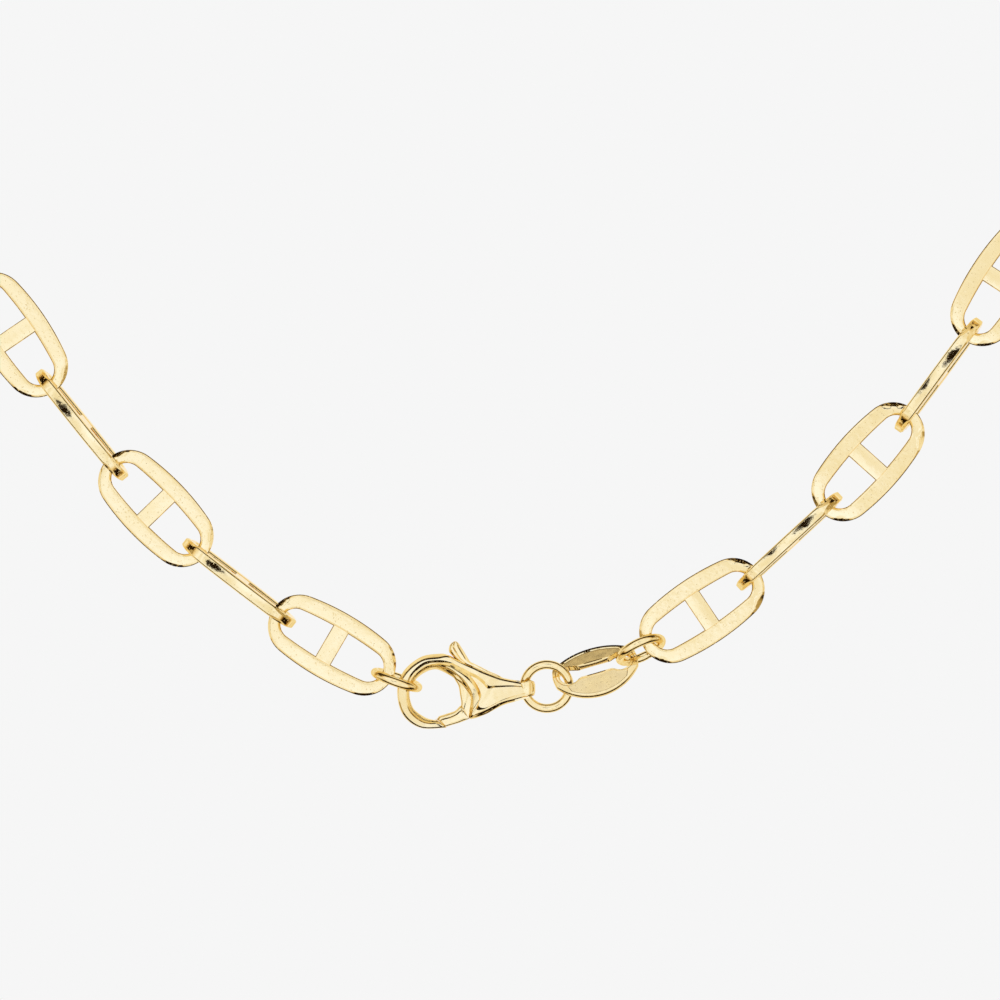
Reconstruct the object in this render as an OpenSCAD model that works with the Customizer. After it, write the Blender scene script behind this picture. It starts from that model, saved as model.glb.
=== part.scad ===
// Mariner link chain necklace, closed with a lobster clasp and hanging as a loop.
// Millimetres. The loop hangs in the XZ plane, its front faces -Y and +Z is up.
// The origin is on the inner side of the top link, where the chain rests on a neck or a hook.

/* [Links] */
// Number of links, so that the top link and both links beside the clasp lie flat
link_count = 41; // [37:4:45]
// Length of a link over its ends
link_length = 13.06; // [12.9:0.02:13.3]
// Width of a link over its sides
link_width = 6.6; // [6.4:0.1:7]
// Thickness of a link's flat strip
link_thickness = 1.13; // [1:0.01:1.16]
// Width of the strip along a link's sides
side_strip = 1.62; // [1.4:0.02:1.8]
// Width of the strip round a link's ends
end_strip = 1.12; // [1:0.02:1.14]
// Radius of a link's ends
link_end_radius = 3; // [2.6:0.1:3]
// Radius of the two ends of a link's opening
hole_end_radius = 1.45; // [1.3:0.05:1.5]
// Width of the bar across a link's middle
bar_width = 1.64; // [1.3:0.02:1.9]
// Thickness of the bar, a little less than the strip's
bar_thickness = 1.03; // [0.9:0.01:1]
// Width of the bevel along a link's edges
link_bevel = 0.16; // [0.1:0.01:0.2]
// Free play where the ends of two links cross
link_play = 0.26; // [0.24:0.01:0.4]

/* [Jump rings] */
// Outer diameter of a jump ring
ring_diameter = 5.1; // [5.06:0.02:5.12]
// Diameter of a jump ring's wire
ring_wire = 0.85; // [0.7:0.01:0.86]

/* [Tag] */
// Length of the oval tag over its ends
tag_length = 8.24; // [8.1:0.02:8.3]
// Width of the oval tag, measured flat
tag_width = 6.1; // [5.6:0.1:6.3]
// Thickness of the tag
tag_thickness = 0.55; // [0.45:0.01:0.58]
// Width of the slot along the tag's middle
tag_slot = 1.3; // [1.15:0.05:1.6]
// Radius of the slot's round ends, which the jump rings pass through
tag_hole_radius = 1.1; // [1.08:0.01:1.16]
// Angle between the tag's two leaves
tag_fold = 32; // [28:1:36]

/* [Clasp] */
// Outer radius of the hook
hook_radius = 3.6; // [3.5:0.05:3.65]
// Radius of the opening inside the hook
hook_hole_radius = 2.36; // [2.3:0.02:2.4]
// Thickness of the hook from front to back
hook_thickness = 2.1; // [1.9:0.05:2.2]
// Thickness of the clasp's body at its fullest
body_thickness = 3; // [2.8:0.05:3.2]
// Width of the slot that the trigger turns in
clasp_slot = 1.5; // [1.4:0.02:1.6]
// Radius of the pin that the trigger turns on
pin_radius = 0.4; // [0.35:0.01:0.42]
// Gap between the trigger and what it turns beside
clasp_gap = 0.1; // [0.08:0.01:0.12]

/* [Hidden] */

function link_name(i) = str(i < 10 ? "link_0" : "link_", i);

// Fineness of round shapes: small rounds, and long shallow arcs
fine = 96;
very_fine = 720;
// How far a cutting shape reaches past what it cuts
cut = 0.05;
// How far an arc's end laps into the next arc, in degrees
lap = 1.5;
// How far a link's blank reaches in past its opening, and the core that the opening's cut leaves
blank_reach = 0.28;
cut_core = 0.15;

// Slope of each link beside the clasp, in degrees up and outwards, from the clasp on
left_slopes = [30.2, 37.5, 46, 51.1, 55.8];
right_slopes = [34, 42.6, 48.2, 53.5, 57];
// Turn of the same links about their own length, in degrees
left_twists = [0, -3.5, 0, -3.5, 0];
right_twists = [0, 3.5, 0, 5, 0];
// Where the chain's two ends meet the jump rings, from the middle of the hook, as [x, z]
left_joint = [-5.17, 1.77];
right_joint = [20.78, 4.73];

// The chain's hidden stretch turns more over the top than along the arms. Two amounts say how
// much more and how far it leans to one side, and they are found so that the loop closes.
link_pitch = link_length - 2 * end_strip - link_play;
shown = len(left_slopes);
first_heading = 180 - left_slopes[shown - 1];
last_heading = right_slopes[shown - 1] - 180;
span = right_joint - left_joint;
bow_guess = 0.25;
newton_step = 0.001;
newton_rounds = 8;

// Direction of travel along link i, from the left end of the chain over the top to the right
function heading(i, bow, lean) =
  i <= shown ? 180 - left_slopes[i - 1]
  : i > link_count - shown ? right_slopes[link_count - i] - 180
  : let (v = 2 * (i - shown) / (link_count + 1 - 2 * shown) - 1)
    (first_heading + last_heading) / 2
    + (last_heading - first_heading) / 2 * (v * (1 + bow) - bow * pow(v, 3))
    + lean * (1 - v * v);

function direction(angle) = [cos(angle), sin(angle)];

function total(list, i = 0) = i == len(list) ? [0, 0] : list[i] + total(list, i + 1);

// How far the chain's right end misses its jump ring
function miss(bow, lean) =
  link_pitch * total([for (i = [1:link_count]) direction(heading(i, bow, lean))]) - span;

// Newton's method for the two amounts
function closing(bow, lean, rounds) =
  rounds == 0 ? [bow, lean]
  : let (
      here = miss(bow, lean),
      by_bow = (miss(bow + newton_step, lean) - here) / newton_step,
      by_lean = (miss(bow, lean + newton_step) - here) / newton_step,
      det = by_bow[0] * by_lean[1] - by_bow[1] * by_lean[0]
    )
    closing(
      bow - (here[0] * by_lean[1] - here[1] * by_lean[0]) / det,
      lean - (by_bow[0] * here[1] - by_bow[1] * here[0]) / det,
      rounds - 1);

closed = closing(bow_guess, 0, newton_rounds);
headings = [for (i = [1:link_count]) heading(i, closed[0], closed[1])];
joints = [for (i = 0, at = left_joint; i <= link_count;
  at = at + link_pitch * direction(i < link_count ? headings[i] : 0), i = i + 1) at];
top_link = (link_count + 1) / 2;
top = (joints[top_link - 1] + joints[top_link]) / 2;
origin = [top[0], top[1] - link_width / 2];

// Jump rings: middle as [x, y, z] from the middle of the hook, the slope of the long way
// across that the ring shows, and its turn about that long way, in degrees
left_ring = [[-3.64, 0, 1.146], -19.4, 5.3];
middle_ring = [[10.53, 0.075, 0.515], 0.3, 102.6];
right_ring = [[19.39, 0.115, 3.975], 25.2, -20];

// Tag: middle as [x, y, z] from the middle of the hook, slope of its length, lean of its face
tag_middle = [15.05, -0.2, 2.33];
tag_slope = 16.2;
tag_lean = 43;
// Radius of the tag's bowed sides, strip left at its ends, bevel, and how far its leaves lap
tag_side_radius = 5;
tag_end_strip = 0.65;
tag_bevel = 0.1;
leaf_lap = 0.1;

// Hook, from its middle: the opening sits a little lower, and both rims are round
hook_hole_drop = 0.25;
hook_rim_radius = 1.4;
hook_hole_rim_radius = 2;
// The cut that the gate closes against, as [x, z], and the stretch that the hook leaves out
gate_cut = [[-0.36, -2.13], [1.35, -3.7]];
hook_gap = concat(gate_cut, [[4.2, -3.75], [4.2, 1.1], [1.87, 1.23], [1.5, 0.9]]);

// Pin and hub of the trigger: the pin is covered at the front and a little recessed at the back
hinge = [5.1, 1];
hub_radius = 0.85;
running_gap = 0.05;
pin_cover = 0.3;
pin_recess = 0.05;
pin_front = body_thickness / 2 - pin_cover;
pin_back = body_thickness / 2 - pin_recess;

// Cheeks and tail as [x, z] along their front and back edges, bowed and fullest at the crown
cheek_front = [[3.28, -2.6], [3.05, -2.08], [3.33, -1.51], [3.42, -0.75], [3.19, 0],
  [2.62, 0.66], [1.87, 1.23], [1.3, 1.7]];
cheek_back = [[1.3, 3.3], [2.34, 3], [3.28, 2.55], [4.23, 2.17], [5.17, 1.79], [6.11, 1.42],
  [7.06, 1.2], [7.91, 1.05], [7.91, -0.5], [7.06, -0.9], [6.11, -1.37], [5.17, -1.86],
  [4.23, -2.26]];
crown_x = 3.9;
body_bow_radius = 24;

// Eye at the end of the tail: a short upright barrel with an upright hole
tail_eye_middle = [8.2, 0.38];
tail_eye_radius = 1.25;
tail_eye_height = 1.3;
tail_eye_bevel = 0.15;
tail_hole_x = 8.38;
tail_hole_radius = 0.9;

// Slot for the trigger, right through from top to bottom
reach = 4;
clasp_slot_outline = [[1.45, reach], [1.45, -reach], [3.9, -reach], [4.3, -2.2], [5.4, -0.3],
  [6.8, 0.5], [6.8, reach]];

// Trigger as [x, z]: thumb tab with its knob, lever with its spine and arm in the slot, and gate
thumb_tab = [[1.4, 4.06], [1.6, 3.5], [1.95, 3.25], [2.4, 3.1], [3.3, 2.68], [3.28, 2.88],
  [3, 3.25], [2.72, 3.77], [2.38, 4.5], [1.87, 4.8], [1.4, 4.5]];
tab_knob = [1.87, 4.37];
tab_knob_radius = 0.54;
tab_thickness = 2.1;
lever = [[3.05, -2.4], [2.1, -2.1], [2.4, -1.32], [2.36, -0.5], [2.32, 0], [2.1, 0.75],
  [1.75, 1.4], [1.6, 2.4], [1.65, 3.6], [2.4, 3.8], [3, 3.25], [3.28, 2.88], [4.23, 2.41],
  [5.17, 1.93], [6.11, 1.51], [6.55, 1.35], [6.5, 1], [4.9, 0], [4.2, -1.5], [3.6, -2.3]];
gate = [[0.19, -2.5], [0.45, -2.31], [1.4, -2.03], [1.87, -1.89], [2.46, -1.32], [2.88, -2.02],
  [3.12, -2.56], [2.81, -2.83], [1.87, -3.11], [1.09, -3.32]];
gate_thickness = 2.1;

// Extrude an outline drawn in [x, z] evenly to the front and back
module plate(thickness) {
  rotate([90, 0, 0])
    linear_extrude(thickness, center = true)
      children();
}

// Section through the edge of a flat piece: straight in the middle, sloping by flare at both faces
module edge_profile(radius, depth, half_height, straight, flare) {
  polygon([[radius - depth, -half_height], [radius + flare, -half_height], [radius, -straight],
    [radius, straight], [radius + flare, half_height], [radius - depth, half_height]]);
}

// Ring along a four-arc oval, reaching inwards by depth
module oval_ring(half_length, half_width, end_radius, depth, half_height, straight, flare) {
  side_radius = (pow(half_length - end_radius, 2) + pow(half_width, 2) - pow(end_radius, 2))
    / (2 * (half_width - end_radius));
  end_x = half_length - end_radius;
  side_y = side_radius - half_width;
  end_angle = atan2(side_y, end_x);
  for (turn = [0, 180])
    rotate(turn) {
      translate([end_x, 0, 0])
        rotate_extrude(angle = 2 * (end_angle + lap), start = -end_angle - lap, $fn = fine)
          edge_profile(end_radius, depth, half_height, straight, flare);
      translate([0, -side_y, 0])
        rotate_extrude(angle = 180 - 2 * end_angle, start = end_angle, $fn = very_fine)
          edge_profile(side_radius, depth, half_height, straight, flare);
    }
}

// One link: a flat bevelled oval strip with a bar across its middle
module link_shape() {
  half = link_thickness / 2;
  straight = half - link_bevel;
  hole_half_width = link_width / 2 - side_strip;
  difference() {
    oval_ring(link_length / 2, link_width / 2, link_end_radius, side_strip + blank_reach, half,
      straight, -link_bevel);
    oval_ring(link_length / 2 - end_strip, hole_half_width, hole_end_radius,
      hole_end_radius - cut_core, half + cut, straight, link_bevel + cut);
  }
  cube([bar_width, 2 * hole_half_width + side_strip / 2, bar_thickness], center = true);
}

// Link i in its place: odd links lie flat, even links stand edge-on
module link(i) {
  middle = (joints[i - 1] + joints[i]) / 2;
  twist = i <= shown ? left_twists[i - 1]
    : i > link_count - shown ? right_twists[link_count - i] : 0;
  color("gold")
    translate([middle[0], 0, middle[1]])
      rotate([0, -headings[i - 1], 0])
        rotate([(i % 2 == 1 ? 90 : 0) + twist, 0, 0])
          link_shape();
}

// Round wire ring, placed by one of the rows above
module jump_ring(place) {
  color("gold")
    translate(place[0])
      rotate([0, -place[1], 0])
        rotate([place[2], 0, 0])
          rotate_extrude($fn = fine)
            translate([(ring_diameter - ring_wire) / 2, 0])
              circle(d = ring_wire, $fn = fine);
}

// Round disc with its edge bevelled by flare, or flared where it is a cutting shape
module disc(radius, half_height, straight, flare) {
  rotate_extrude($fn = very_fine)
    edge_profile(radius, radius, half_height, straight, flare);
}

// Long plate with bowed sides and blunt round ends, centred on the origin
module spindle(half_length, half_width, side_radius, half_height, straight, flare) {
  intersection() {
    disc(half_length, half_height, straight, flare);
    translate([0, side_radius - half_width, 0])
      disc(side_radius, half_height, straight, flare);
    translate([0, half_width - side_radius, 0])
      disc(side_radius, half_height, straight, flare);
  }
}

// One leaf of the tag, in the XY plane with its outer edge towards +Y
module tag_leaf() {
  half = tag_thickness / 2;
  straight = half - tag_bevel;
  hole_x = tag_length / 2 - tag_end_strip - tag_hole_radius;
  intersection() {
    difference() {
      spindle(tag_length / 2, tag_width / 2, tag_side_radius, half, straight, -tag_bevel);
      cube([2 * hole_x, tag_slot, 2 * tag_thickness], center = true);
      for (side = [-1, 1])
        translate([side * hole_x, 0, 0])
          disc(tag_hole_radius, half + cut, straight, tag_bevel + cut);
    }
    translate([-tag_length, -leaf_lap, -tag_thickness])
      cube([2 * tag_length, tag_width, 2 * tag_thickness]);
  }
}

// Oval tag of two leaves about a slot, folded a little along its length
module tag_link() {
  color("gold")
    translate(tag_middle)
      rotate([0, -tag_slope, 0])
        rotate([90 - tag_lean, 0, 0])
          for (turn = [0, 180])
            rotate(turn)
              rotate([-tag_fold / 2, 0, 0])
                tag_leaf();
}

// Hook of the clasp: a ring with rounded rims, open from the gate's cut to the cheeks
module hook() {
  rim_middle = hook_radius - hook_rim_radius;
  difference() {
    rotate([90, 0, 0])
      rotate_extrude($fn = fine)
        intersection() {
          translate([0, -hook_thickness / 2])
            square([2 * hook_radius, hook_thickness]);
          union() {
            translate([0, -hook_thickness / 2])
              square([rim_middle, hook_thickness]);
            translate([rim_middle, 0])
              circle(hook_rim_radius, $fn = fine);
          }
        }
    translate([0, 0, -hook_hole_drop])
      rotate([90, 0, 0])
        rotate_extrude($fn = fine)
          difference() {
            translate([0, -hook_thickness])
              square([hook_hole_radius + hook_hole_rim_radius / 2, 2 * hook_thickness]);
            translate([hook_hole_radius + hook_hole_rim_radius, 0])
              circle(hook_hole_rim_radius, $fn = fine);
          }
    plate(2 * hook_thickness)
      polygon(hook_gap);
  }
}

// Cheeks and tail of the clasp, fullest just behind the hook and slimmer towards both ends
module cheeks() {
  intersection() {
    plate(2 * body_thickness)
      polygon(concat(cheek_front, cheek_back));
    translate([crown_x, 0, -2 * hook_radius])
      linear_extrude(4 * hook_radius)
        intersection_for(side = [-1, 1])
          translate([0, side * (body_bow_radius - body_thickness / 2)])
            circle(body_bow_radius, $fn = very_fine);
  }
}

// Eye at the end of the tail, for the middle jump ring
module tail_eye() {
  translate([tail_eye_middle[0], 0, tail_eye_middle[1]])
    rotate_extrude($fn = fine)
      edge_profile(tail_eye_radius, tail_eye_radius, tail_eye_height / 2,
        tail_eye_height / 2 - tail_eye_bevel, -tail_eye_bevel);
}

// Body of the clasp: hook, two cheeks with a slot between them, tail and eye
module clasp_body() {
  color("gold")
    difference() {
      union() {
        hook();
        cheeks();
        tail_eye();
      }
      plate(clasp_slot) {
        polygon(clasp_slot_outline);
        translate(hinge)
          circle(hub_radius + clasp_gap, $fn = fine);
      }
      translate([hinge[0], -pin_front, hinge[1]])
        rotate([-90, 0, 0])
          cylinder(r = pin_radius, h = 2 * body_thickness, $fn = fine);
      translate([tail_hole_x, 0, tail_eye_middle[1]])
        cylinder(r = tail_hole_radius, h = 2 * hook_radius, center = true, $fn = fine);
    }
}

// Trigger: thumb tab above, lever and hub in the slot, gate below
module clasp_trigger() {
  color("gold")
    difference() {
      union() {
        plate(tab_thickness) {
          polygon(thumb_tab);
          translate(tab_knob)
            circle(tab_knob_radius, $fn = fine);
        }
        plate(clasp_slot - 2 * clasp_gap) {
          polygon(lever);
          translate(hinge)
            circle(hub_radius, $fn = fine);
        }
        plate(gate_thickness)
          polygon(gate);
      }
      translate([hinge[0], 0, hinge[1]])
        rotate([90, 0, 0])
          cylinder(r = pin_radius + running_gap, h = body_thickness, center = true, $fn = fine);
    }
}

// Pin of the trigger, pressed into the cheeks from the back
module clasp_pin() {
  color("gold")
    translate([hinge[0], -pin_front, hinge[1]])
      rotate([-90, 0, 0])
        cylinder(r = pin_radius, h = pin_front + pin_back, $fn = fine);
}

// Everything is modelled from the middle of the hook and moved to the origin here
module placed() {
  translate([-origin[0], 0, -origin[1]])
    children();
}

placed() clasp_body();
placed() clasp_trigger();
placed() clasp_pin();
placed() jump_ring(left_ring);  // jump_ring_left
placed() jump_ring(middle_ring);  // jump_ring_middle
placed() jump_ring(right_ring);  // jump_ring_right
placed() tag_link();
for (i = [1:link_count])
  placed() link(i);
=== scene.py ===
# Gold mariner link chain necklace hanging as a loop, in plain soft studio light.
# Metres, front facing -Y, +Z up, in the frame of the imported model.
import math

import bpy
import numpy as np
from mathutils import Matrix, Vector


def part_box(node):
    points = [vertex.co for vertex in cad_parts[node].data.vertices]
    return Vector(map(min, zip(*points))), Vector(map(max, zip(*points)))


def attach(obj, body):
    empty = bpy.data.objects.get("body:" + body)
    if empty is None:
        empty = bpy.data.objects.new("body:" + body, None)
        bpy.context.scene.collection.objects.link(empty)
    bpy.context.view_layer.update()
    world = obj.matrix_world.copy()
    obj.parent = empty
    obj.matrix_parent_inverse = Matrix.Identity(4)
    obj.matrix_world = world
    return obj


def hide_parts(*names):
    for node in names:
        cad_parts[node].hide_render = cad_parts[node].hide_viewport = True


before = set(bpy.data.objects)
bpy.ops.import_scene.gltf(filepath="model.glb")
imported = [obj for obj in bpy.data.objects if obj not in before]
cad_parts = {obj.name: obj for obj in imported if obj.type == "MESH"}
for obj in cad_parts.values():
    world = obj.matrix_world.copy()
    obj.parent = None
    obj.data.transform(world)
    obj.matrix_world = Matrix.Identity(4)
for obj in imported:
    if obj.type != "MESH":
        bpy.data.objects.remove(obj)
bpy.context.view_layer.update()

MM = 0.001
TINY = 1e-6

# Camera: the middle of the picture in the row frame, how much of it the picture spans, how far off
# the camera stands and where its view starts, in metres, and its sensor's width in millimetres
VIEW_MIDDLE = Vector((3.137, 0.0, -142.605)) * MM
VIEW_WIDTH = 94.34 * MM
CAMERA_DISTANCE = 0.9
SENSOR_WIDTH = 36.0
CLIP_START = 0.01

# Directions that a symmetric piece's long axis and its face are turned to
LONG_SIDE = (1.0, 0.0, 1e-3)
FACE_SIDE = (1e-3, -1.0, 0.5)

# Chain links, in millimetres: their outline and hole are four arcs each. The strip between has a
# bevel and a gentle slope at its edges, and a slightly crowned face that falls at the link's ends.
# The bar across the hole lies a little below the strip.
LINK_END_RADIUS = 3.0
HOLE_END_RADIUS = 1.45
SIDE_STRIP = 1.62
END_STRIP = 1.12
EDGE_BEVEL = 0.075
EDGE_SLOPE = 0.15
EDGE_DROP = 0.08
EDGE_ROUND = 0.025
FACE_START = 0.4
FACE_CROWN = 0.006
END_FALL_START = 3.6
END_FALL = 0.1
END_STEPS = 16
SIDE_STEPS = 8
BAR_WIDTH = 1.64
BAR_RECESS = 0.05
# Worn slopes on the outer edge at a link's ends: facing direction and half angle in degrees,
# then their width on the chain's first and last link
WORN_EDGES = ((42, 26, 0.28, 0.38), (-60, 24, 0.24, 0.42), (160, 24, 0.36, 0.28), (218, 20, 0.2, 0.28))

# Jump rings: points round the ring and the wire, and how deep the seam is, in millimetres
RING_STEPS = 128
WIRE_STEPS = 28
SEAM_DEPTH = 0.03

# Clasp, in millimetres from the middle of its hook. A hook row has its angle, then how far from
# that middle the outer edge, outer ridge, crease, inner ridge and opening are.
HOOK_RADIUS = 3.6
HOOK_ROWS = (
    (-113, 3.67, 3.48, 3.03, 2.83, 2.56),
    (-145, 3.74, 3.5, 2.95, 2.75, 2.55),
    (180, 3.6, 3.4, 2.66, 2.52, 2.4),
    (148, 3.58, 3.2, 2.74, 2.45, 2.18),
    (113, 3.57, 3.14, 2.86, 2.46, 2.09),
    (85, 3.62, 3.16, 2.88, 2.53, 2.13))
# How far the dent is from the crease to the inner ridge; then the hook's end, which follows the
# slanting cut, with a place each for the same edges
HOOK_DENT = 0.7
HOOK_END = ((0.95, -3.28), (0.82, -3.11), (0.35, -2.82), (0.27, -2.74), (0.15, -2.64), (0.03, -2.51))
END_CHAMFER = 0.15
# A cheek row has the top edge, the crease, the dent, the front or lower ridge, and the edge there
CHEEK_ROWS = (
    ((1.15, 3.52), (1.4, 2.69), (1.38, 2.48), (1.35, 2.22), (1.3, 1.62)),
    ((2.06, 3.1), (2.25, 2.26), (2.2, 2.04), (2.1, 1.72), (1.92, 1.23)),
    ((2.81, 2.76), (2.91, 1.93), (2.78, 1.7), (2.7, 1.2), (2.55, 0.69)),
    ((3.57, 2.45), (3.47, 1.65), (3.5, 1.08), (3.3, 0.36), (3.08, 0.02)),
    ((4.23, 2.15), (3.94, 1.42), (4.02, 0.33), (3.6, -0.49), (3.38, -0.66)),
    ((4.93, 1.85), (4.56, 0.92), (4.27, -0.47), (3.6, -1.5), (3.22, -1.79)),
    ((5.55, 1.62), (5.03, 0.48), (3.99, -1.42), (3.55, -2.15), (3.3, -2.52)),
    ((6.21, 1.38), (5.69, 0.53), (4.75, -1.5), (4.6, -1.75), (4.7, -2.11)),
    ((7.15, 1.18), (6.87, 0.58), (6.3, -0.75), (6.2, -0.95), (6.3, -1.27)),
    ((7.6, 1.11), (7.6, 0.57), (7.5, -0.34), (7.45, -0.6), (7.5, -0.9)),
    ((8.05, 1.02), (8.12, 0.52), (8.6, -0.04), (8.85, -0.22), (8.9, -0.5)))
# Half thickness at the outer ridge, before and after the crease, before and after the dent,
# at the inner ridge and along the straight wall, at some of the rows above
BODY_DEPTHS = {
    0: (0.84, 0.82, 0.76, 0.74, 0.79, 0.74, 0.0),
    1: (1.0, 0.98, 0.9, 0.88, 0.93, 0.88, 0.0),
    4: (1.0, 0.97, 0.86, 0.84, 0.9, 0.84, 0.0),
    6: (1.0, 1.0, 0.8, 0.78, 0.82, 0.76, 0.0),
    7: (1.03, 1.03, 0.82, 0.8, 0.9, 0.82, 0.1),
    8: (1.07, 1.07, 0.86, 0.86, 1.02, 0.95, 0.4),
    9: (1.11, 1.11, 0.88, 0.88, 1.12, 1.1, 0.75),
    10: (1.14, 1.14, 0.89, 0.9, 1.24, 1.2, 0.75),
    11: (1.17, 1.17, 0.91, 0.92, 1.32, 1.28, 0.75),
    12: (1.19, 1.2, 0.94, 0.96, 1.38, 1.34, 0.75),
    14: (1.22, 1.24, 1.0, 1.03, 1.38, 1.34, 0.75),
    15: (1.2, 1.21, 1.04, 1.07, 1.14, 1.1, 0.75),
    16: (1.16, 1.16, 1.05, 1.08, 1.12, 1.08, 0.6),
    17: (1.12, 1.12, 1.05, 1.07, 1.1, 1.06, 0.6),
    18: (1.1, 1.1, 1.04, 1.05, 1.09, 1.04, 0.95)}
RIDGE_INSET = 0.26
# The edge up to a ridge: the chamfer's width and its greatest share of the edge, its steps (share
# of the way left, share of its height reached), and the power that the wall's curve below follows
CHAMFER = 0.16
CHAMFER_SHARE = 0.6
CHAMFER_STEPS = ((0.75, 0.28), (0.5, 0.55), (0.25, 0.8))
WALL_CURVE = 0.6
# A step across the face: width for its height, least width, and greatest share of the way on
# either side
STEP_SLOPE = 1.15
STEP_LEAST = 0.02
STEP_BACK = 0.6
STEP_AHEAD = 0.4
# Hollows behind the face, from one row to another and their half width: slot and eye hole. A row
# at a hollow's end is drawn both with and without it.
HOLLOWS = ((9, 15, 0.75), (17, 99, 0.94))
HOLLOW_END = 0.01
# Steps from row to row on the body and the trigger, up a wall, and between two points of a face
LENGTH_STEPS = 14
TRIGGER_STEPS = 7
EDGE_STEPS = 5
FACE_STEPS = 4

# Eye at the clasp's tail: along its outline seen from above, how far along, half thickness, bottom
# and top, with a crease before the bulb at its end; then its hole, and how far in its rounding
# reaches at the outside and at the hole
EYE_PLAN = (
    (7.2, 0.0, -0.6, 1.0), (7.2, 0.95, -0.6, 1.0), (8.2, 1.0, -0.5, 0.98), (8.4, 1.06, -0.46, 1.04),
    (8.75, 1.14, -0.42, 1.14), (9.05, 1.02, -0.4, 1.14), (9.33, 0.7, -0.34, 1.02), (9.43, 0.25, -0.26, 0.92),
    (9.43, 0.0, -0.26, 0.92))
EYE_HOLE_X = 8.38
EYE_HOLE_RADIUS = 0.9
EYE_ROUND = 0.3
EYE_LIP = 0.15

# Trigger, in the same measure. A tab row has its left edge, crease and right edge.
TAB_ROWS = (
    ((1.8, 4.8), (1.87, 4.79), (1.97, 4.81)),
    ((1.5, 4.6), (1.78, 4.55), (2.2, 4.62)),
    ((1.33, 4.3), (1.72, 4.25), (2.38, 4.34)),
    ((1.3, 3.82), (1.9, 3.87), (2.68, 3.88)),
    ((1.62, 3.42), (2.15, 3.5), (2.96, 3.4)),
    ((1.95, 3.12), (2.45, 3.12), (3.3, 2.88)),
    ((2.5, 2.8), (2.9, 2.72), (3.85, 2.54)))
TAB_HALF = 1.0
# Where the two ridges are, from the left edge to the crease and from it to the right edge, how much
# lower the left part is at its ridge and at the crease, and the straight wall's half thickness
TAB_RIDGES = (0.5, 0.55)
TAB_DROPS = (0.1, 0.12)
TAB_WALL = 0.3
# A lever row has its edge towards the opening and its far edge, which is the spine at first. Its
# ridges lie LEVER_RIDGE inside them, and LEVER_WALL is the straight wall's half thickness.
LEVER_ROWS = (
    ((1.6, 3.15), (3.28, 2.86)),
    ((1.5, 1.9), (4.23, 2.41)),
    ((1.88, 1.13), (5.17, 1.93)),
    ((2.2, 0.55), (6.11, 1.51)),
    ((2.34, -0.28), (6.35, 1.0)),
    ((2.45, -1.0), (4.6, -0.6)),
    ((2.36, -1.6), (4.0, -1.7)),
    ((2.25, -2.2), (3.3, -2.4)))
LEVER_HALF = 0.65
LEVER_RIDGE = 0.15
LEVER_WALL = 0.4
# A gate row has its top edge, the ridge below it and its bottom edge
GATE_ROWS = (
    ((0.13, -2.53), (0.42, -2.79), (1.0, -3.29)),
    ((0.25, -2.42), (0.53, -2.68), (1.1, -3.26)),
    ((0.4, -2.26), (0.76, -2.54), (1.32, -3.19)),
    ((1.02, -2.06), (1.38, -2.38), (1.75, -3.06)),
    ((1.87, -1.76), (1.92, -2.15), (2.25, -2.91)),
    ((2.46, -1.28), (2.5, -1.75), (2.75, -2.72)),
    ((2.9, -1.95), (2.95, -2.2), (3.2, -2.54)))
GATE_HALF = 1.0
# The outer ridges, each from its edge to the ridge between them, and the same measures as the tab's
GATE_RIDGES = (0.45, 0.2)
GATE_DROPS = (0.14, 0.12)
GATE_WALL = 0.3

# Tag, in millimetres along and across its length and square to its face. A leaf's rims are raised
# above its panel, and its inner edge follows the slot and the round holes at its ends. The panel
# fades out past TAG_PANEL_HALF, and the fold between the leaves lies TAG_FOLD_RISE above the middle.
TAG_SIDE_RADIUS = 5.0
TAG_SLOT_HALF = 0.65
TAG_HOLE_RADIUS = 1.1
TAG_END_STRIP = 0.65
TAG_FOLD = math.radians(32)
TAG_THICKNESS = 0.55
TAG_SINK = 0.09
TAG_RIM = 0.34
TAG_INNER_RIM = 0.26
TAG_PANEL_HALF = 2.1
TAG_PANEL_FADE = 0.9
TAG_UPPER_RISE = 0.08
TAG_FOLD_RISE = 0.42
# Edges as (inset, drop below the rim), the wall's height at the outer edge, the bevel at the back,
# how far the panel's wall reaches before and past a rim's end, and the greatest share of the width
TAG_INNER_EDGE = ((0, 0.09), (0.03, 0.03), (0.09, 0))
TAG_OUTER_EDGE = ((0.1, 0.01), (0.06, 0.05))
TAG_OUTER_WALL = 0.25
TAG_BACK_BEVEL = 0.06
TAG_WALL = (0.05, 0.02)
TAG_MOST = 0.49
# The faces after this one of a leaf's rows are its panel; then the steps round a hole, along half
# of a leaf and along half of its blunt end
TAG_PANEL_ROW = 5
TAG_HOLE_STEPS = 32
TAG_LEAF_STEPS = 80
TAG_END_STEPS = 20

# Gold: pale and deep tone, and the tint of its edges
GOLD_PALE = (0.93, 0.785, 0.47, 1)
GOLD_DEEP = (0.9, 0.74, 0.405, 1)
GOLD_EDGE = (0.95, 0.78, 0.42, 1)
# Noise in the gold, each (scale per millimetre, detail), the range of it that counts, and how much
# of a material's roughness it makes; depths in millimetres
TONE_NOISE = (0.35, 3)
TONE_RANGE = (0.3, 0.62)
GLOSS_NOISE = (1.4, 5)
GLOSS_RANGE = (0.3, 0.7)
GLOSS_SPREAD = (0.7, 1.5)
SOFT_WAVES = (0.5, 2)
SOFT_WAVE_DEPTH = 0.03
FINE_WAVES = (2.2, 4)
WAVE_STRENGTH = 0.5
PITS = (6, 2)
PIT_RANGE = (0.27, 0.34)
PIT_STRENGTH = 0.6

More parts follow.
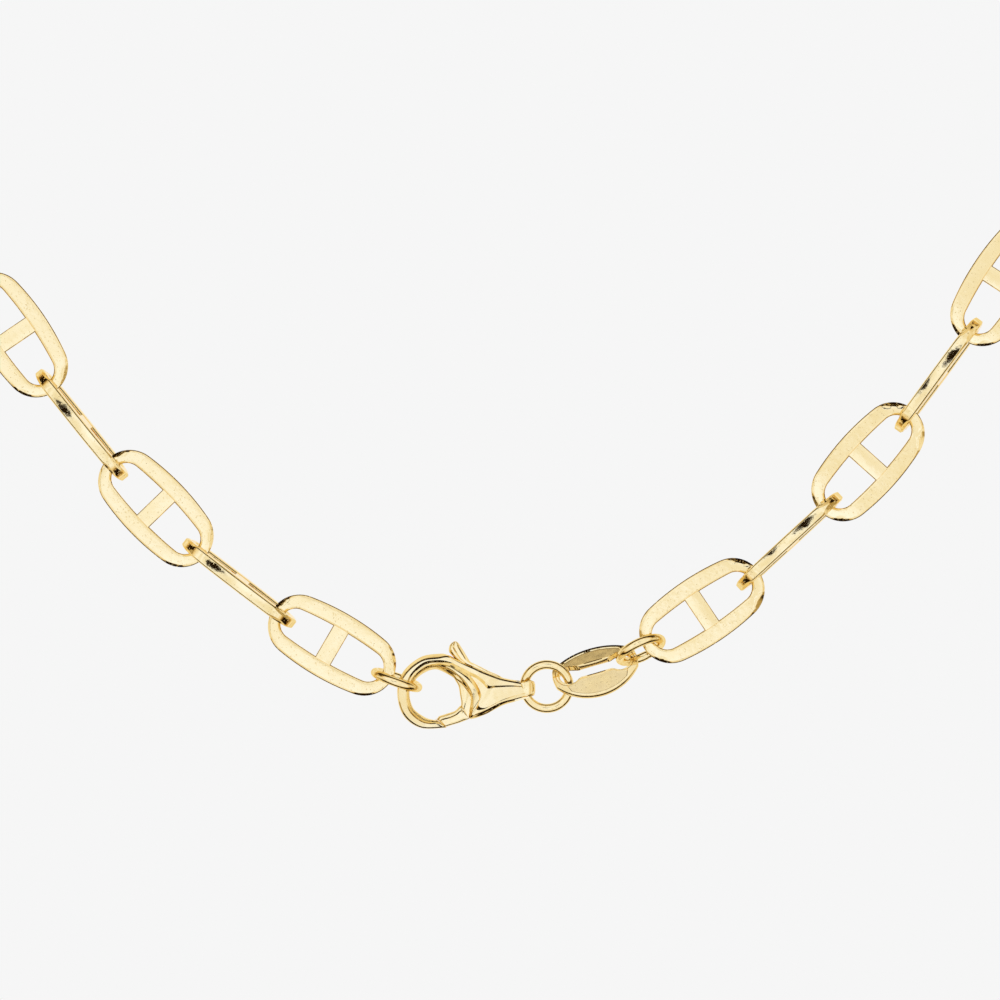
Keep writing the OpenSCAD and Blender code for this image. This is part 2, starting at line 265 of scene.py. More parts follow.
# The studio that the gold mirrors. BAND has rows of (how far back, colour): 0 is the direction of
# the camera, 0.5 is square to it and 1 is straight behind the chain.
BAND = (
    (0.0, (1.07, 1.08, 1.1)),
    (0.03, (1.06, 1.06, 1.03)),
    (0.2, (1.02, 0.98, 0.88)),
    (0.28, (0.95, 0.76, 0.42)),
    (0.33, (0.42, 0.25, 0.06)),
    (0.37, (0.015, 0.006, 0.001)),
    (0.63, (0.015, 0.006, 0.001)),
    (0.66, (0.6, 0.42, 0.16)),
    (0.74, (1.0, 0.88, 0.62)),
    (1.0, (1.0, 1.0, 1.0)))
# An amber window in the band straight to the left and right and a pale one in its middle: half
# sizes along and up, and colour
WINDOWS = (((0.3, 0.5), (0.5, 0.36, 0.14, 1)), ((0.4, 0.24), (0.95, 0.84, 0.6, 1)))
# The studio's walls are uneven: their noise, and how dark and bright they get
WALL_NOISE = (5.0, 1.0)
WALL_RANGE = (0.36, 0.66)
WALL_DARK = (0.93, 0.91, 0.86, 1)
WALL_BRIGHT = (1.08, 1.16, 1.42, 1)
BACKDROP = (0.922, 0.922, 0.922, 1)
# Two dark flags beside the camera: their middles and half sizes across and up, as shares of the
# direction's length, and how far forward they stand. SOFT_EDGE is that of windows and flags.
FLAGS = (((-0.27, 0.055), (0.08, 0.065)), ((0.04, 0.235), (0.09, 0.075)))
FLAG_COLOUR = (0.015, 0.007, 0.001, 1)
FLAG_FRONT = -0.5
SOFT_EDGE = 0.06
# Floor and the light for it, in metres and watts
KEY_PLACE = (-0.35, -0.5, 0.25)
KEY_SIZE = 0.5
KEY_POWER = 1.0
FLOOR_DROP = 0.3
FLOOR_PALE = (0.9, 0.9, 0.89, 1)
FLOOR_SIZE = 3.4
FLOOR_ROUGHNESS = 0.8


def mesh_object(name, verts, faces, material, smooth_angle=40.0):
    """A smooth-shaded object from points in millimetres of the row frame."""
    mesh = bpy.data.meshes.new(name)
    mesh.from_pydata((np.asarray(verts) * MM).tolist(), [], faces)
    mesh.validate()
    mesh.shade_smooth()
    mesh.set_sharp_from_angle(angle=math.radians(smooth_angle))
    mesh.materials.append(material)
    obj = bpy.data.objects.new(name, mesh)
    bpy.context.scene.collection.objects.link(obj)
    return obj


def principal_frame(node):
    """Middle, axes (long, wide, thick) and half sizes of a symmetric node, in millimetres."""
    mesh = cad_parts[node].data
    mesh.calc_loop_triangles()
    points = np.empty(len(mesh.vertices) * 3)
    mesh.vertices.foreach_get("co", points)
    points = points.reshape(-1, 3) / MM
    corners = np.empty(len(mesh.loop_triangles) * 3, dtype=np.int32)
    mesh.loop_triangles.foreach_get("vertices", corners)
    tri = points[corners.reshape(-1, 3)]
    area = np.linalg.norm(np.cross(tri[:, 1] - tri[:, 0], tri[:, 2] - tri[:, 0]), axis=1)
    middle = (tri.mean(axis=1) * area[:, None]).sum(axis=0) / area.sum()
    rel = tri - middle
    total = rel.sum(axis=1)
    moment = np.einsum("t,tci,tcj->ij", area, rel, rel) + np.einsum("t,ti,tj->ij", area, total, total)
    axes = np.linalg.eigh(moment)[1].T[::-1].copy()
    for axis, side in ((axes[0], LONG_SIDE), (axes[2], FACE_SIDE)):
        if axis @ np.array(side) < 0:
            axis *= -1
    axes[1] = np.cross(axes[2], axes[0])
    half = np.abs((points - middle) @ axes.T).max(axis=0)
    return middle, axes, half


def placed(points, middle, axes):
    """Points in a piece's own axes, turned and moved to its place."""
    return np.asarray(points) @ axes + middle


def oval(half_length, half_width, end_radius):
    """Round a four-arc oval: each point's arc middle, arc radius and outward direction."""
    side_radius = ((half_length - end_radius) ** 2 + half_width ** 2 - end_radius ** 2) / (
        2 * (half_width - end_radius))
    end_x = half_length - end_radius
    side_y = side_radius - half_width
    end_angle = math.atan2(side_y, end_x)
    quarter = np.concatenate([
        np.linspace(0, end_angle, END_STEPS, endpoint=False),
        np.linspace(end_angle, math.pi / 2, SIDE_STEPS, endpoint=False)])
    half = np.concatenate([quarter, [math.pi / 2], math.pi - quarter[:0:-1]])
    theta = np.concatenate([half, half + math.pi])
    normal = np.stack([np.cos(theta), np.sin(theta)], axis=1)
    at_end = np.arctan2(np.abs(normal[:, 1]), np.abs(normal[:, 0])) < end_angle
    sign = np.sign(normal)
    middle = np.where(at_end[:, None], sign * (end_x, 0), sign * (0, -side_y))
    radius = np.where(at_end, end_radius, side_radius)[:, None]
    return middle, radius, normal


def grid_faces(rows, columns, closed_rows=True, closed_columns=True):
    """Quads of a grid of points, row by row, with its ends joined where they are closed."""
    faces = []
    for i in range(rows if closed_rows else rows - 1):
        for j in range(columns if closed_columns else columns - 1):
            a, b = i * columns, (i + 1) % rows * columns
            k = (j + 1) % columns
            faces.append((a + j, a + k, b + k, b + j))
    return faces


def rounded_corners(corners, radius, steps=4):
    """A polyline with each inner corner turned into a small arc."""
    points = [np.array(corners[0], float)]
    for before, at, after in zip(corners, corners[1:], corners[2:]):
        before, at, after = (np.array(p, float) for p in (before, at, after))
        start = at + (before - at) / np.linalg.norm(before - at) * radius
        end = at + (after - at) / np.linalg.norm(after - at) * radius
        for i in range(steps + 1):
            t = i / steps
            points.append((1 - t) ** 2 * start + 2 * t * (1 - t) * at + t ** 2 * end)
    points.append(np.array(corners[-1], float))
    return points


def strip_section(half):
    """Section of a link's strip as (share of the way in, inset, height) rows, once round."""
    slope = EDGE_BEVEL + EDGE_SLOPE
    edge = rounded_corners([(0, 0), (0, half - EDGE_DROP - EDGE_BEVEL), (EDGE_BEVEL, half - EDGE_DROP),
                            (slope, half), (FACE_START, half)], EDGE_ROUND)
    rows = [(0, inset, height) for inset, height in edge]
    rows.append((0.5, 0, half + FACE_CROWN))
    rows += [(1, inset, height) for inset, height in edge[::-1]]
    rows += [(share, inset, -height) for share, inset, height in rows[-2:0:-1]]
    return rows


def link_surface(half, place):
    """Points and faces of one link about its own middle: long axis X, wide axis Y, place 0 to 1."""
    outer_middle, outer_radius, normal = oval(half[0], half[1], LINK_END_RADIUS)
    hole_middle, hole_radius, hole_normal = oval(half[0] - END_STRIP, half[1] - SIDE_STRIP, HOLE_END_RADIUS)
    section = strip_section(half[2])
    verts = []
    for share, inset, height in section:
        outer = outer_middle + (outer_radius - inset) * normal
        inner = hole_middle + (hole_radius + inset) * hole_normal
        flat = outer * (1 - share) + inner * share
        past = np.clip((np.abs(flat[:, 0]) - END_FALL_START) / (half[0] - END_FALL_START), 0, 1)
        level = np.full(len(normal), abs(height), float)
        if share == 0:
            worn = worn_edge(normal, place) - inset
            level = np.where(worn > 0, np.minimum(level, half[2] - EDGE_DROP - worn), level)
        level = math.copysign(1, height) * level * (1 - END_FALL / half[2] * past ** 2)
        verts.append(np.column_stack([flat, level]))
    faces = grid_faces(len(section), len(normal))
    verts = np.concatenate(verts)
    bar_verts, bar_faces = bar_surface(half, len(verts))
    return np.concatenate([verts, bar_verts]), faces + bar_faces


def worn_edge(normal, place):
    """How far the worn slopes reach in from the outer edge of a link, by the direction it faces."""
    facing = np.degrees(np.arctan2(normal[:, 1], normal[:, 0]))
    reach = np.full(len(normal), -1.0)
    for middle, half_angle, first, last in WORN_EDGES:
        away = (facing - middle + 180) % 360 - 180
        reach = np.maximum(reach, (first + (last - first) * place) * (1 - (away / half_angle) ** 2))
    return reach


def bar_surface(half, first):
    """The bar across a link's middle, running a little way into the strips at its ends."""
    top = half[2] - BAR_RECESS
    side = BAR_WIDTH / 2
    reach = half[1] - SIDE_STRIP + EDGE_BEVEL
    corners = [(0, top), (side - EDGE_BEVEL, top), (side, top - EDGE_BEVEL), (side, 0)]
    quarter = rounded_corners(corners, EDGE_ROUND)
    right = quarter + [(x, -z) for x, z in quarter[-2::-1]]
    section = [np.array(p) for p in right] + [np.array((-p[0], p[1])) for p in right[-2:0:-1]]
    verts = [(x, y, z) for y in (-reach, reach) for x, z in section]
    count = len(section)
    faces = [(first + j, first + count + j, first + count + (j + 1) % count, first + (j + 1) % count)
             for j in range(count)]
    faces.append(tuple(range(first + count, first + 2 * count)))
    faces.append(tuple(range(first + count - 1, first - 1, -1)))
    return np.array(verts), faces


def add_links(material):
    """Every link of the chain, each where its solid is."""
    links = sorted(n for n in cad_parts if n.startswith("link_"))
    for i, node in enumerate(links):
        middle, axes, half = principal_frame(node)
        verts, faces = link_surface(half - (0, 0, FACE_CROWN), i / (len(links) - 1))
        obj = mesh_object(node + "_gold", placed(verts, middle, axes), faces, material)
        finish_piece(obj, node)


def add_jump_ring(node, material):
    """A round wire ring with the thin seam where its ends meet."""
    middle, axes, half = principal_frame(node)
    wire = half[2]
    ring = half[0] - wire
    verts = []
    for i in range(RING_STEPS):
        angle = 2 * math.pi * i / RING_STEPS
        radius = wire - (SEAM_DEPTH if i == 0 else 0)
        for j in range(WIRE_STEPS):
            turn = 2 * math.pi * j / WIRE_STEPS
            out = ring + radius * math.cos(turn)
            verts.append((out * math.cos(angle), out * math.sin(angle), radius * math.sin(turn)))
    faces = grid_faces(RING_STEPS, WIRE_STEPS)
    faces = [face[::-1] for face in faces]
    obj = mesh_object(node + "_gold", placed(verts, middle, axes), faces, material, smooth_angle=180)
    finish_piece(obj, node)


def smooth_rows(rows, steps):
    """Rows of numbers with a smooth (Catmull-Rom) curve through them, steps to each stretch."""
    rows = np.asarray(rows, float)
    ends = np.concatenate([[2 * rows[0] - rows[1]], rows, [2 * rows[-1] - rows[-2]]])
    out = []
    for a, b, c, d in zip(ends, ends[1:], ends[2:], ends[3:]):
        for t in np.arange(steps) / steps:
            out.append(0.5 * (2 * b + (c - a) * t + (2 * a - 5 * b + 4 * c - d) * t ** 2
                              + (3 * b - a - 3 * c + d) * t ** 3))
    out.append(rows[-1])
    return np.array(out)


def hook_middle():
    """The middle of the clasp's hook, in millimetres of the model's frame."""
    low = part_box("clasp_body")[0]
    return np.array((low[0] / MM + HOOK_RADIUS, 0, low[2] / MM + HOOK_RADIUS))


def add_clasp_piece(name, node, verts, faces, material, smooth_angle=40, body="necklace"):
    """A piece drawn from the middle of the hook."""
    obj = mesh_object(name, verts + hook_middle(), faces, material, smooth_angle)
    finish_piece(obj, node, body)
    return obj


def clasp_rows():
    """Every cross row of the clasp's body: its seven places on the face, then its seven depths."""
    along = np.array((HOOK_END[0][1] - HOOK_END[-1][1], HOOK_END[-1][0] - HOOK_END[0][0]))
    along *= END_CHAMFER / np.linalg.norm(along)
    rows = [(HOOK_END + share * along).ravel().tolist() for share in (0, 1)]
    for angle, edge, ridge, crease, front, opening in HOOK_ROWS:
        out = np.array((math.cos(math.radians(angle)), math.sin(math.radians(angle))))
        dent = (1 - HOOK_DENT) * crease + HOOK_DENT * front
        rows.append([v * r for r in (edge, ridge, crease, dent, front, opening) for v in out])
    for places in CHEEK_ROWS:
        top, crease, dent, front, edge = (np.array(p) for p in places)
        ridge = top + RIDGE_INSET * (crease - top) / np.linalg.norm(crease - top)
        rows.append([v for p in (top, ridge, crease, dent, front, edge) for v in p])
    at = sorted(BODY_DEPTHS)
    for i, row in enumerate(rows):
        row += [np.interp(i, at, [BODY_DEPTHS[k][j] for k in at]) for j in range(7)]
    return rows


def edge_curve(edge, ridge, wall):
    """From a wall up to a ridge: steep at first, then a chamfer at 45 degrees."""
    width = np.linalg.norm(ridge[:2] - edge)
    chamfer = min(CHAMFER, CHAMFER_SHARE * width)
    left, reached = np.array(CHAMFER_STEPS).T
    share = np.linspace(0, 1, EDGE_STEPS)
    inset = np.concatenate([(width - chamfer) * share, width - chamfer * left])
    low = ridge[2] - chamfer
    depth = np.concatenate([wall + (low - wall) * share ** WALL_CURVE, low + chamfer * reached])
    return list(np.hstack([edge + (ridge[:2] - edge) * (inset / width)[:, None], depth[:, None]]))


def step(before, at, after, depth_before, depth_after):
    """A small step of the face at one place, square to the way from before to after."""
    wide = STEP_SLOPE * abs(depth_after - depth_before) + STEP_LEAST
    near, far = np.linalg.norm(before - at), np.linalg.norm(after - at)
    ahead = min(wide / 2, STEP_AHEAD * far)
    back = min(wide - ahead, STEP_BACK * near)
    start = at + (before - at) * back / max(near, TINY)
    end = at + (after - at) * ahead / max(far, TINY)
    return [np.array((*start, depth_before)), np.array((*end, depth_after))]


def cross_section(edge, middle, far_edge, wall, inner):
    """Once round the front half of a piece: its first ridge, what lies between, and its last ridge."""
    points = [np.array((*edge, inner))] + edge_curve(edge, middle[0], wall)
    for start, end in zip(middle, middle[1:]):
        points += [start + (end - start) * k / FACE_STEPS for k in range(FACE_STEPS)]
    points.append(middle[-1])
    points += edge_curve(far_edge, middle[-1], wall)[::-1]
    points.append(np.array((*far_edge, inner)))
    return np.array(points)


def body_section(row, inner):
    """One cross section of the clasp's front half, from its outer to its inner edge."""
    edge, ridge, crease, dent, front, opening = row[:12].reshape(6, 2)
    depth = row[12:]
    middle = [np.array((*ridge, depth[0])), *step(ridge, crease, dent, depth[1], depth[2]),
              *step(crease, dent, front, depth[3], depth[4]), np.array((*front, depth[5]))]
    return cross_section(edge, middle, opening, max(depth[6], inner), inner)


def two_halves(sections):
    """Points and faces of a piece from the cross sections of its front half, mirrored to the back."""
    count = len(sections[0])
    front = np.concatenate(sections)
    front = np.column_stack([front[:, 0], -front[:, 2], front[:, 1]])
    faces = grid_faces(len(sections), count, closed_rows=False)
    faces += [tuple(range(count))[::-1], tuple(range(len(front) - count, len(front)))]
    turned = [tuple(len(front) + v for v in face[::-1]) for face in faces]
    return np.concatenate([front, front * (1, -1, 1)]), faces + turned


def add_clasp_body(material):
    """The clasp's casting: hook and two cheeks with their creases, and the eye at the tail."""
    rows = smooth_rows(clasp_rows(), LENGTH_STEPS)
    sections = []
    for i, row in enumerate(rows):
        place = i / LENGTH_STEPS
        for inner in dict.fromkeys((hollow_at(place - HOLLOW_END), hollow_at(place + HOLLOW_END))):
            sections.append(body_section(row, inner))
    verts, faces = two_halves(sections)
    eye_verts, eye_faces = eye_surface(len(verts))
    add_clasp_piece("clasp_body_gold", "clasp_body", np.concatenate([verts, eye_verts]),
                    faces + eye_faces, material, smooth_angle=28)


def hollow_at(place):
    """Half width of the hollow behind the clasp's face at one place along its rows."""
    return next((half for start, end, half in HOLLOWS if start < place < end), 0)


def eye_surface(first):
    """The eye: an upright barrel with a crease and a bulb, and a round hole near its end."""
    outline = list(EYE_PLAN) + [(x, -y, low, high) for x, y, low, high in EYE_PLAN[-2:0:-1]]
    verts = []
    for x, y, low, high in outline:
        reach = math.hypot(x - EYE_HOLE_X, y)
        across = np.array((x - EYE_HOLE_X, y)) / reach
        middle, half = (low + high) / 2, (high - low) / 2
        wall = rounded_corners([(0, 0), (0, half), (EYE_ROUND, half)], EYE_ROUND * 0.9)
        lip = rounded_corners([(0, 0), (0, half), (EYE_LIP, half)], EYE_LIP - 0.01)
        out = [(reach - inset, -z) for inset, z in wall[:0:-1]]
        out += [(reach - inset, z) for inset, z in wall[1:]]
        hole = [(EYE_HOLE_RADIUS + inset, z) for inset, z in lip[::-1]]
        hole += [(EYE_HOLE_RADIUS + inset, -z) for inset, z in lip]
        verts += [(EYE_HOLE_X + far * across[0], far * across[1], middle + z) for far, z in out + hole]
    faces = grid_faces(len(outline), len(out) + len(hole))
    return np.array(verts), [tuple(first + v for v in face) for face in faces]


def stepped_face(first, crease, last, half, drops):
    """A face from its first to its last ridge, stepped up to its half thickness at the crease."""
    return [np.array((*first, half - drops[0])), *step(first, crease, last, half - drops[1], half),
            np.array((*last, half))]


def tab_sections():
    """Cross sections of the thumb tab, from its tip to the spine."""
    sections = []
    for left, crease, right in smooth_places(TAB_ROWS):
        first = left + TAB_RIDGES[0] * (crease - left)
        last = crease + TAB_RIDGES[1] * (right - crease)
        middle = stepped_face(first, crease, last, TAB_HALF, TAB_DROPS)
        sections.append(cross_section(left, middle, right, TAB_WALL, 0))
    return sections


def lever_sections():
    """Cross sections of the lever, from the spine down to the gate."""
    sections = []
    for near, far in smooth_places(LEVER_ROWS):
        inset = LEVER_RIDGE * (far - near) / np.linalg.norm(far - near)
        middle = [np.array((*(near + inset), LEVER_HALF)), np.array((*(far - inset), LEVER_HALF))]
        sections.append(cross_section(near, middle, far, LEVER_WALL, 0))
    return sections


def gate_sections():
    """Cross sections of the gate, chamfered at its tip."""
    sections = []
    for top, ridge, bottom in smooth_places(GATE_ROWS):
        first = top + GATE_RIDGES[0] * (ridge - top)
        last = bottom + GATE_RIDGES[1] * (ridge - bottom)
        half = GATE_HALF - max(0, END_CHAMFER - np.linalg.norm(ridge - GATE_ROWS[0][1]))
        middle = stepped_face(first, ridge, last, half, GATE_DROPS)
        sections.append(cross_section(top, middle, bottom, GATE_WALL, 0))
    return sections


def add_trigger(material):
    """The trigger: thumb tab with its crease, lever in the slot, and gate with its ridge."""
    for name, sections in (("trigger_tab", tab_sections()), ("trigger_lever", lever_sections()),
                           ("trigger_gate", gate_sections())):
        verts, faces = two_halves(sections)
        add_clasp_piece(name, "clasp_trigger", verts, faces, material, body="trigger")


def smooth_places(rows):
    """Rows of places on the face, with a smooth curve through each column."""
    flat = [[v for place in row for v in place] for row in rows]
    return [row.reshape(-1, 2) for row in smooth_rows(flat, TRIGGER_STEPS)]


def tag_edges(half_length, half_width):
    """The inner and outer edge of a flat leaf, from its right end over the top to its left."""
    hole_x = half_length - TAG_END_STRIP - TAG_HOLE_RADIUS
    meet = math.asin(TAG_SLOT_HALF / TAG_HOLE_RADIUS)
    turn = np.linspace(0, math.pi - meet, TAG_HOLE_STEPS)
    hole = np.column_stack([hole_x + TAG_HOLE_RADIUS * np.cos(turn), TAG_HOLE_RADIUS * np.sin(turn)])
    slot_x = np.linspace(hole[-1, 0], 0, TAG_LEAF_STEPS - len(hole) + 2)[1:]
    inner = np.concatenate([hole, np.column_stack([slot_x, np.full(len(slot_x), TAG_SLOT_HALF)])])
    side_y = half_width - TAG_SIDE_RADIUS
    end_angle = math.asin(end_height(half_length, half_width) / half_length)
    end_turn = np.linspace(0, end_angle, TAG_END_STEPS)
    end = half_length * np.column_stack([np.cos(end_turn), np.sin(end_turn)])
    start = math.atan2(end[-1, 1] - side_y, end[-1, 0])
    side_turn = np.linspace(start, math.pi / 2, len(inner) - len(end) + 1)[1:]
    side = (0, side_y) + TAG_SIDE_RADIUS * np.column_stack([np.cos(side_turn), np.sin(side_turn)])
    outer = np.concatenate([end, side])
    mirror = np.array((-1, 1))
    return np.concatenate([inner, inner[-2::-1] * mirror]), np.concatenate([outer, outer[-2::-1] * mirror])


def end_height(half_length, half_width):
    """How high a tag's blunt end, an arc about its middle, reaches before its bowed side starts."""
    side_y = half_width - TAG_SIDE_RADIUS
    return (half_length ** 2 - TAG_SIDE_RADIUS ** 2 + side_y ** 2) / (2 * side_y)


def leaf_surface(half_length, half_width, rise):
    """One leaf: rims at both edges, the outer one rising outwards, and a sunken panel between them.

    Its rows are (inset from the near edge, height), from the inner edge over the face to the back.
    """
    inner, outer = tag_edges(half_length, half_width)
    width = np.linalg.norm(outer - inner, axis=1)
    past = np.clip((np.abs(inner[:, 0] + outer[:, 0]) / 2 - TAG_PANEL_HALF) / TAG_PANEL_FADE, 0, 1)
    inner_rim = TAG_INNER_RIM + past * (0.5 * width - TAG_INNER_RIM)
    outer_rim = TAG_RIM + past * (0.5 * width - TAG_RIM)
    rim = TAG_THICKNESS / 2
    face = rim - TAG_SINK
    back = -rim + TAG_BACK_BEVEL
    near = [(0, back), *((inset, rim - drop) for inset, drop in TAG_INNER_EDGE),
            (inner_rim - TAG_WALL[0], rim), (inner_rim + TAG_WALL[1], face)]
    far = [(outer_rim + TAG_WALL[1], face), (outer_rim - TAG_WALL[0], rim),
           *((inset, rim + rise - drop) for inset, drop in TAG_OUTER_EDGE),
           (0, rim - TAG_OUTER_WALL), (0, back), (TAG_BACK_BEVEL, -rim)]
    rows = [along(inner, outer, np.minimum(inset / width, TAG_MOST), height) for inset, height in near]
    rows += [along(inner, outer, 1 - np.minimum(inset / width, TAG_MOST), height) for inset, height in far]
    rows.append(along(inner, outer, TAG_BACK_BEVEL / width, -rim))
    count = len(rows)
    verts = np.stack(rows, axis=1).reshape(-1, 3)
    faces = grid_faces(len(inner), count, closed_rows=False)
    faces += [tuple(range(count))[::-1], tuple(range(len(verts) - count, len(verts)))]
    return verts, faces, count


def along(inner, outer, share, height):
    """Points at a share of the way from the inner to the outer edge, at one height."""
    flat = inner + (outer - inner) * share[:, None]
    return np.column_stack([flat, np.full(len(flat), height)])


def add_tag(material, upper_panel, lower_panel):
    """The oval tag: two leaves folded about the slot between them, with a matt panel each, in painted shade
    that is deeper on the upper leaf.
    """
    middle, axes, half = principal_frame("tag_link")
    half_width = tag_half_width(half)
    for name, side, rise, panel_material in (("tag_upper_leaf", 1, TAG_UPPER_RISE, upper_panel),
                                             ("tag_lower_leaf", -1, 0, lower_panel)):
        verts, faces, count = leaf_surface(half[0], half_width, rise)
        lean = TAG_FOLD / 2
        turned = np.column_stack([
            verts[:, 0] * side,
            (verts[:, 1] * math.cos(lean) + verts[:, 2] * math.sin(lean)) * side,
            verts[:, 2] * math.cos(lean) - verts[:, 1] * math.sin(lean)])
        turned += (0, 0, TAG_FOLD_RISE)
        obj = mesh_object(name, placed(turned, middle, axes), faces, material, smooth_angle=30)
        obj.data.materials.append(panel_material)
        for i, face in enumerate(obj.data.polygons):
            if i < len(faces) - 2 and i % count == TAG_PANEL_ROW:
                face.material_index = 1
        finish_piece(obj, "tag_link")


def tag_half_width(half):
    """Width of a flat leaf, from the tag's half size across its folded leaves."""
    return half[1] / math.cos(TAG_FOLD / 2) - TAG_THICKNESS / 2 * math.tan(TAG_FOLD / 2)


def finish_piece(obj, node, body="necklace"):
    """The piece stands for its solid and rides on its body."""
    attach(obj, body)
    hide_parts(node)


class Graph:
    """The node tree of a fresh material or world, with short ways to add and join nodes."""

    def __init__(self, owner):
        owner.use_nodes = True
        self.nodes = owner.node_tree.nodes
        self.links = owner.node_tree.links

    def add(self, kind, inputs=(), **settings):
        """A node with its settings and inputs, each input a constant or another node's output."""
        node = self.nodes.new("ShaderNode" + kind)
        for key, value in settings.items():
            setattr(node, key, value)
        for key, value in dict(inputs).items():
            if hasattr(value, "is_linked"):
                self.links.new(value, node.inputs[key])
            else:
                node.inputs[key].default_value = value
        return node

    def noise(self, vector, scale, detail):
        """Soft noise about 0.5."""
        return self.add("TexNoise", {"Vector": vector, "Scale": scale, "Detail": detail}).outputs["Fac"]

    def spread(self, value, ends, low=0, high=1):
        """A value's way from one end to the other, as one from low to high."""
        node = self.add("MapRange", {"Value": value, "From Min": ends[0], "From Max": ends[1],
                                     "To Min": low, "To Max": high})
        return node.outputs["Result"]

    def math(self, operation, *values):
        """The result of one sum."""
        return self.add("Math", dict(enumerate(values)), operation=operation).outputs[0]

    def mix(self, amount, first, second):
        """A colour between two others."""
        node = self.add("Mix", {"Factor": amount, "A": first, "B": second}, data_type="RGBA")
        return node.outputs["Result"]

    def box(self, values, middle, half):
        """1 where two values lie inside a box and 0 outside it, with a soft edge."""
        inside = []
        for value, at, size in zip(values, middle, half):
            away = self.math("ABSOLUTE", self.math("SUBTRACT", value, at))
            inside.append(self.spread(away, (size * (1 - SOFT_EDGE), size * (1 + SOFT_EDGE)), 1, 0))
        return self.math("MULTIPLY", *inside)


def gold_material(name="polished_gold", roughness=0.09, shade=1.0, wave_depth=0.009, pit_depth=0.02):
    """Polished pale gold with uneven tone and gloss, soft waves and small pits, in millimetres; a shade
    below 1 darkens its colour as painted shade.
    """
    mat = bpy.data.materials.new(name)
    graph = Graph(mat)
    shader = graph.nodes["Principled BSDF"]
    shader.inputs["Metallic"].default_value = 1.0
    shader.inputs["Specular Tint"].default_value = GOLD_EDGE
    coords = graph.add("TexCoord").outputs["Object"]
    place = graph.add("Mapping", {"Vector": coords, "Scale": (1 / MM, 1 / MM, 1 / MM)}).outputs["Vector"]

    tone = graph.add("ValToRGB", {"Fac": graph.noise(place, *TONE_NOISE)})
    for stop, share, colour in zip(tone.color_ramp.elements, TONE_RANGE, (GOLD_DEEP, GOLD_PALE)):
        stop.position = share
        stop.color = [shade * v for v in colour]
    graph.links.new(tone.outputs["Color"], shader.inputs["Base Color"])
    low, high = (share * roughness for share in GLOSS_SPREAD)
    gloss = graph.spread(graph.noise(place, *GLOSS_NOISE), GLOSS_RANGE, low, high)
    graph.links.new(gloss, shader.inputs["Roughness"])

    normal = None
    for height, depth, strength in (
            (graph.noise(place, *SOFT_WAVES), SOFT_WAVE_DEPTH, WAVE_STRENGTH),
            (graph.noise(place, *FINE_WAVES), wave_depth, WAVE_STRENGTH),
            (graph.spread(graph.noise(place, *PITS), PIT_RANGE), pit_depth, PIT_STRENGTH)):
        bump = graph.add("Bump", {"Height": height, "Distance": depth * MM, "Strength": strength})
        if normal is not None:
            graph.links.new(normal, bump.inputs["Normal"])
        normal = bump.outputs["Normal"]
    graph.links.new(normal, shader.inputs["Normal"])
    return mat


def band_colour(graph, backward):
    """The studio's colour by how far back a direction points."""
    ramp = graph.add("ValToRGB", {"Fac": graph.spread(backward, (-1, 1))})
    stops = ramp.color_ramp.elements
    for i, (place, colour) in enumerate(BAND):
        stop = stops[0] if i == 0 else stops[-1] if i == len(BAND) - 1 else stops.new(place)
        stop.position = place
        stop.color = (*colour, 1)
    return ramp.outputs["Color"]


def add_world():
    """A white studio with a dark band to the sides of the chain, windows in it and flags in front.

    The camera and the floor see a plain backdrop instead.
    """
    world = bpy.data.worlds.new("studio")
    bpy.context.scene.world = world
    graph = Graph(world)
    direction = graph.add("TexCoord").outputs["Generated"]
    x, y, z = graph.add("SeparateXYZ", {0: direction}).outputs
    lit = band_colour(graph, y)
    for half, colour in WINDOWS:
        lit = graph.mix(graph.box((y, z), (0, 0), half), lit, colour)
    front = graph.math("LESS_THAN", y, FLAG_FRONT)
    for middle, half in FLAGS:
        flag = graph.math("MULTIPLY", graph.box((x, z), middle, half), front)
        lit = graph.mix(flag, lit, FLAG_COLOUR)
    uneven = graph.spread(graph.noise(direction, *WALL_NOISE), WALL_RANGE)
    walls = graph.mix(uneven, WALL_DARK, WALL_BRIGHT)
    lit = graph.add("VectorMath", {0: lit, 1: walls}, operation="MULTIPLY").outputs["Vector"]
    ray = graph.add("LightPath").outputs
    plain = graph.math("MAXIMUM", ray["Is Camera Ray"], ray["Is Diffuse Ray"])
    graph.links.new(graph.mix(plain, lit, BACKDROP), graph.nodes["Background"].inputs["Color"])


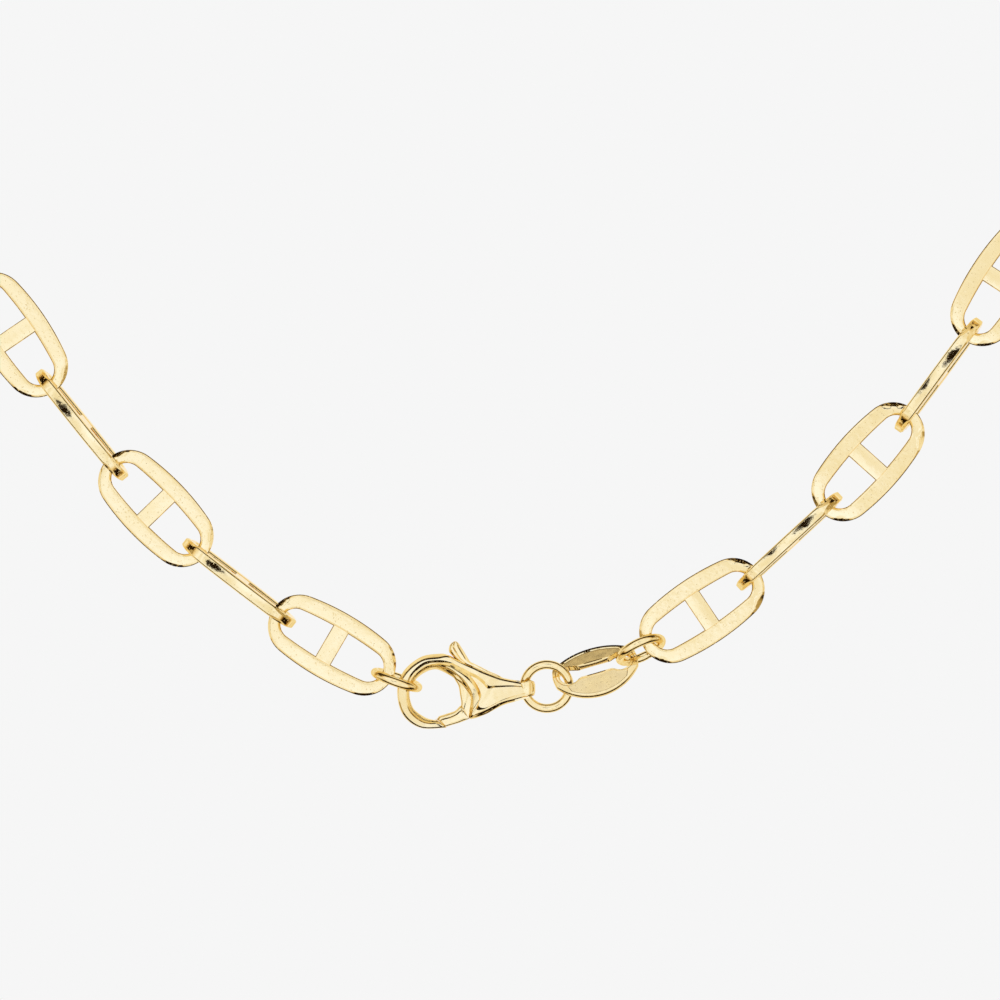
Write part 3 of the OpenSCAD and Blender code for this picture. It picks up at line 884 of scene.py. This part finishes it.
def add_floor():
    """A plain pale floor below the hanging chain, which the gold doesn't mirror."""
    mat = bpy.data.materials.new("pale_floor")
    shader = Graph(mat).nodes["Principled BSDF"]
    shader.inputs["Base Color"].default_value = FLOOR_PALE
    shader.inputs["Roughness"].default_value = FLOOR_ROUGHNESS
    bpy.ops.mesh.primitive_plane_add(size=FLOOR_SIZE, location=(0, 0, -FLOOR_DROP))
    floor = bpy.context.object
    floor.name = "floor"
    floor.visible_glossy = False
    floor.data.materials.append(mat)


def add_light(name, place, size, power):
    """A soft square light for the floor, aimed at the picture's middle and not mirrored in the gold."""
    data = bpy.data.lights.new(name, "AREA")
    data.size = size
    data.energy = power
    lamp = bpy.data.objects.new(name, data)
    lamp.location = place
    lamp.rotation_euler = (VIEW_MIDDLE - lamp.location).to_track_quat("-Z", "Y").to_euler()
    lamp.visible_glossy = False
    bpy.context.scene.collection.objects.link(lamp)


def add_camera():
    """A long lens straight in front, framed as the photograph is."""
    data = bpy.data.cameras.new("camera")
    data.sensor_width = SENSOR_WIDTH
    data.lens = SENSOR_WIDTH * CAMERA_DISTANCE / VIEW_WIDTH
    data.clip_start = CLIP_START
    camera = bpy.data.objects.new("camera", data)
    camera.location = VIEW_MIDDLE - Vector((0, CAMERA_DISTANCE, 0))
    camera.rotation_euler = (math.pi / 2, 0, 0)
    bpy.context.scene.collection.objects.link(camera)
    bpy.context.scene.camera = camera


bpy.context.scene.view_settings.view_transform = "Standard"
add_camera()
add_world()
add_floor()
add_light("key", KEY_PLACE, KEY_SIZE, KEY_POWER)
gold = gold_material()
add_links(gold_material("link_gold", roughness=0.06, wave_depth=0.014, pit_depth=0.035))
for ring in ("jump_ring_left", "jump_ring_middle", "jump_ring_right"):
    add_jump_ring(ring, gold)
add_clasp_body(gold)
add_trigger(gold)
# Both tag panels are one matt gold with painted shade in its colour: deep on the upper leaf's panel, slight
# on the lower leaf's, which is painted lighter.
shaded_matt = gold_material("shaded_matt_gold", roughness=0.3, shade=0.82)
lit_matt = gold_material("lit_matt_gold", roughness=0.25, shade=0.95)
add_tag(gold, shaded_matt, lit_matt)
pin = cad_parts["clasp_pin"].data
pin.materials.clear()
pin.materials.append(gold)
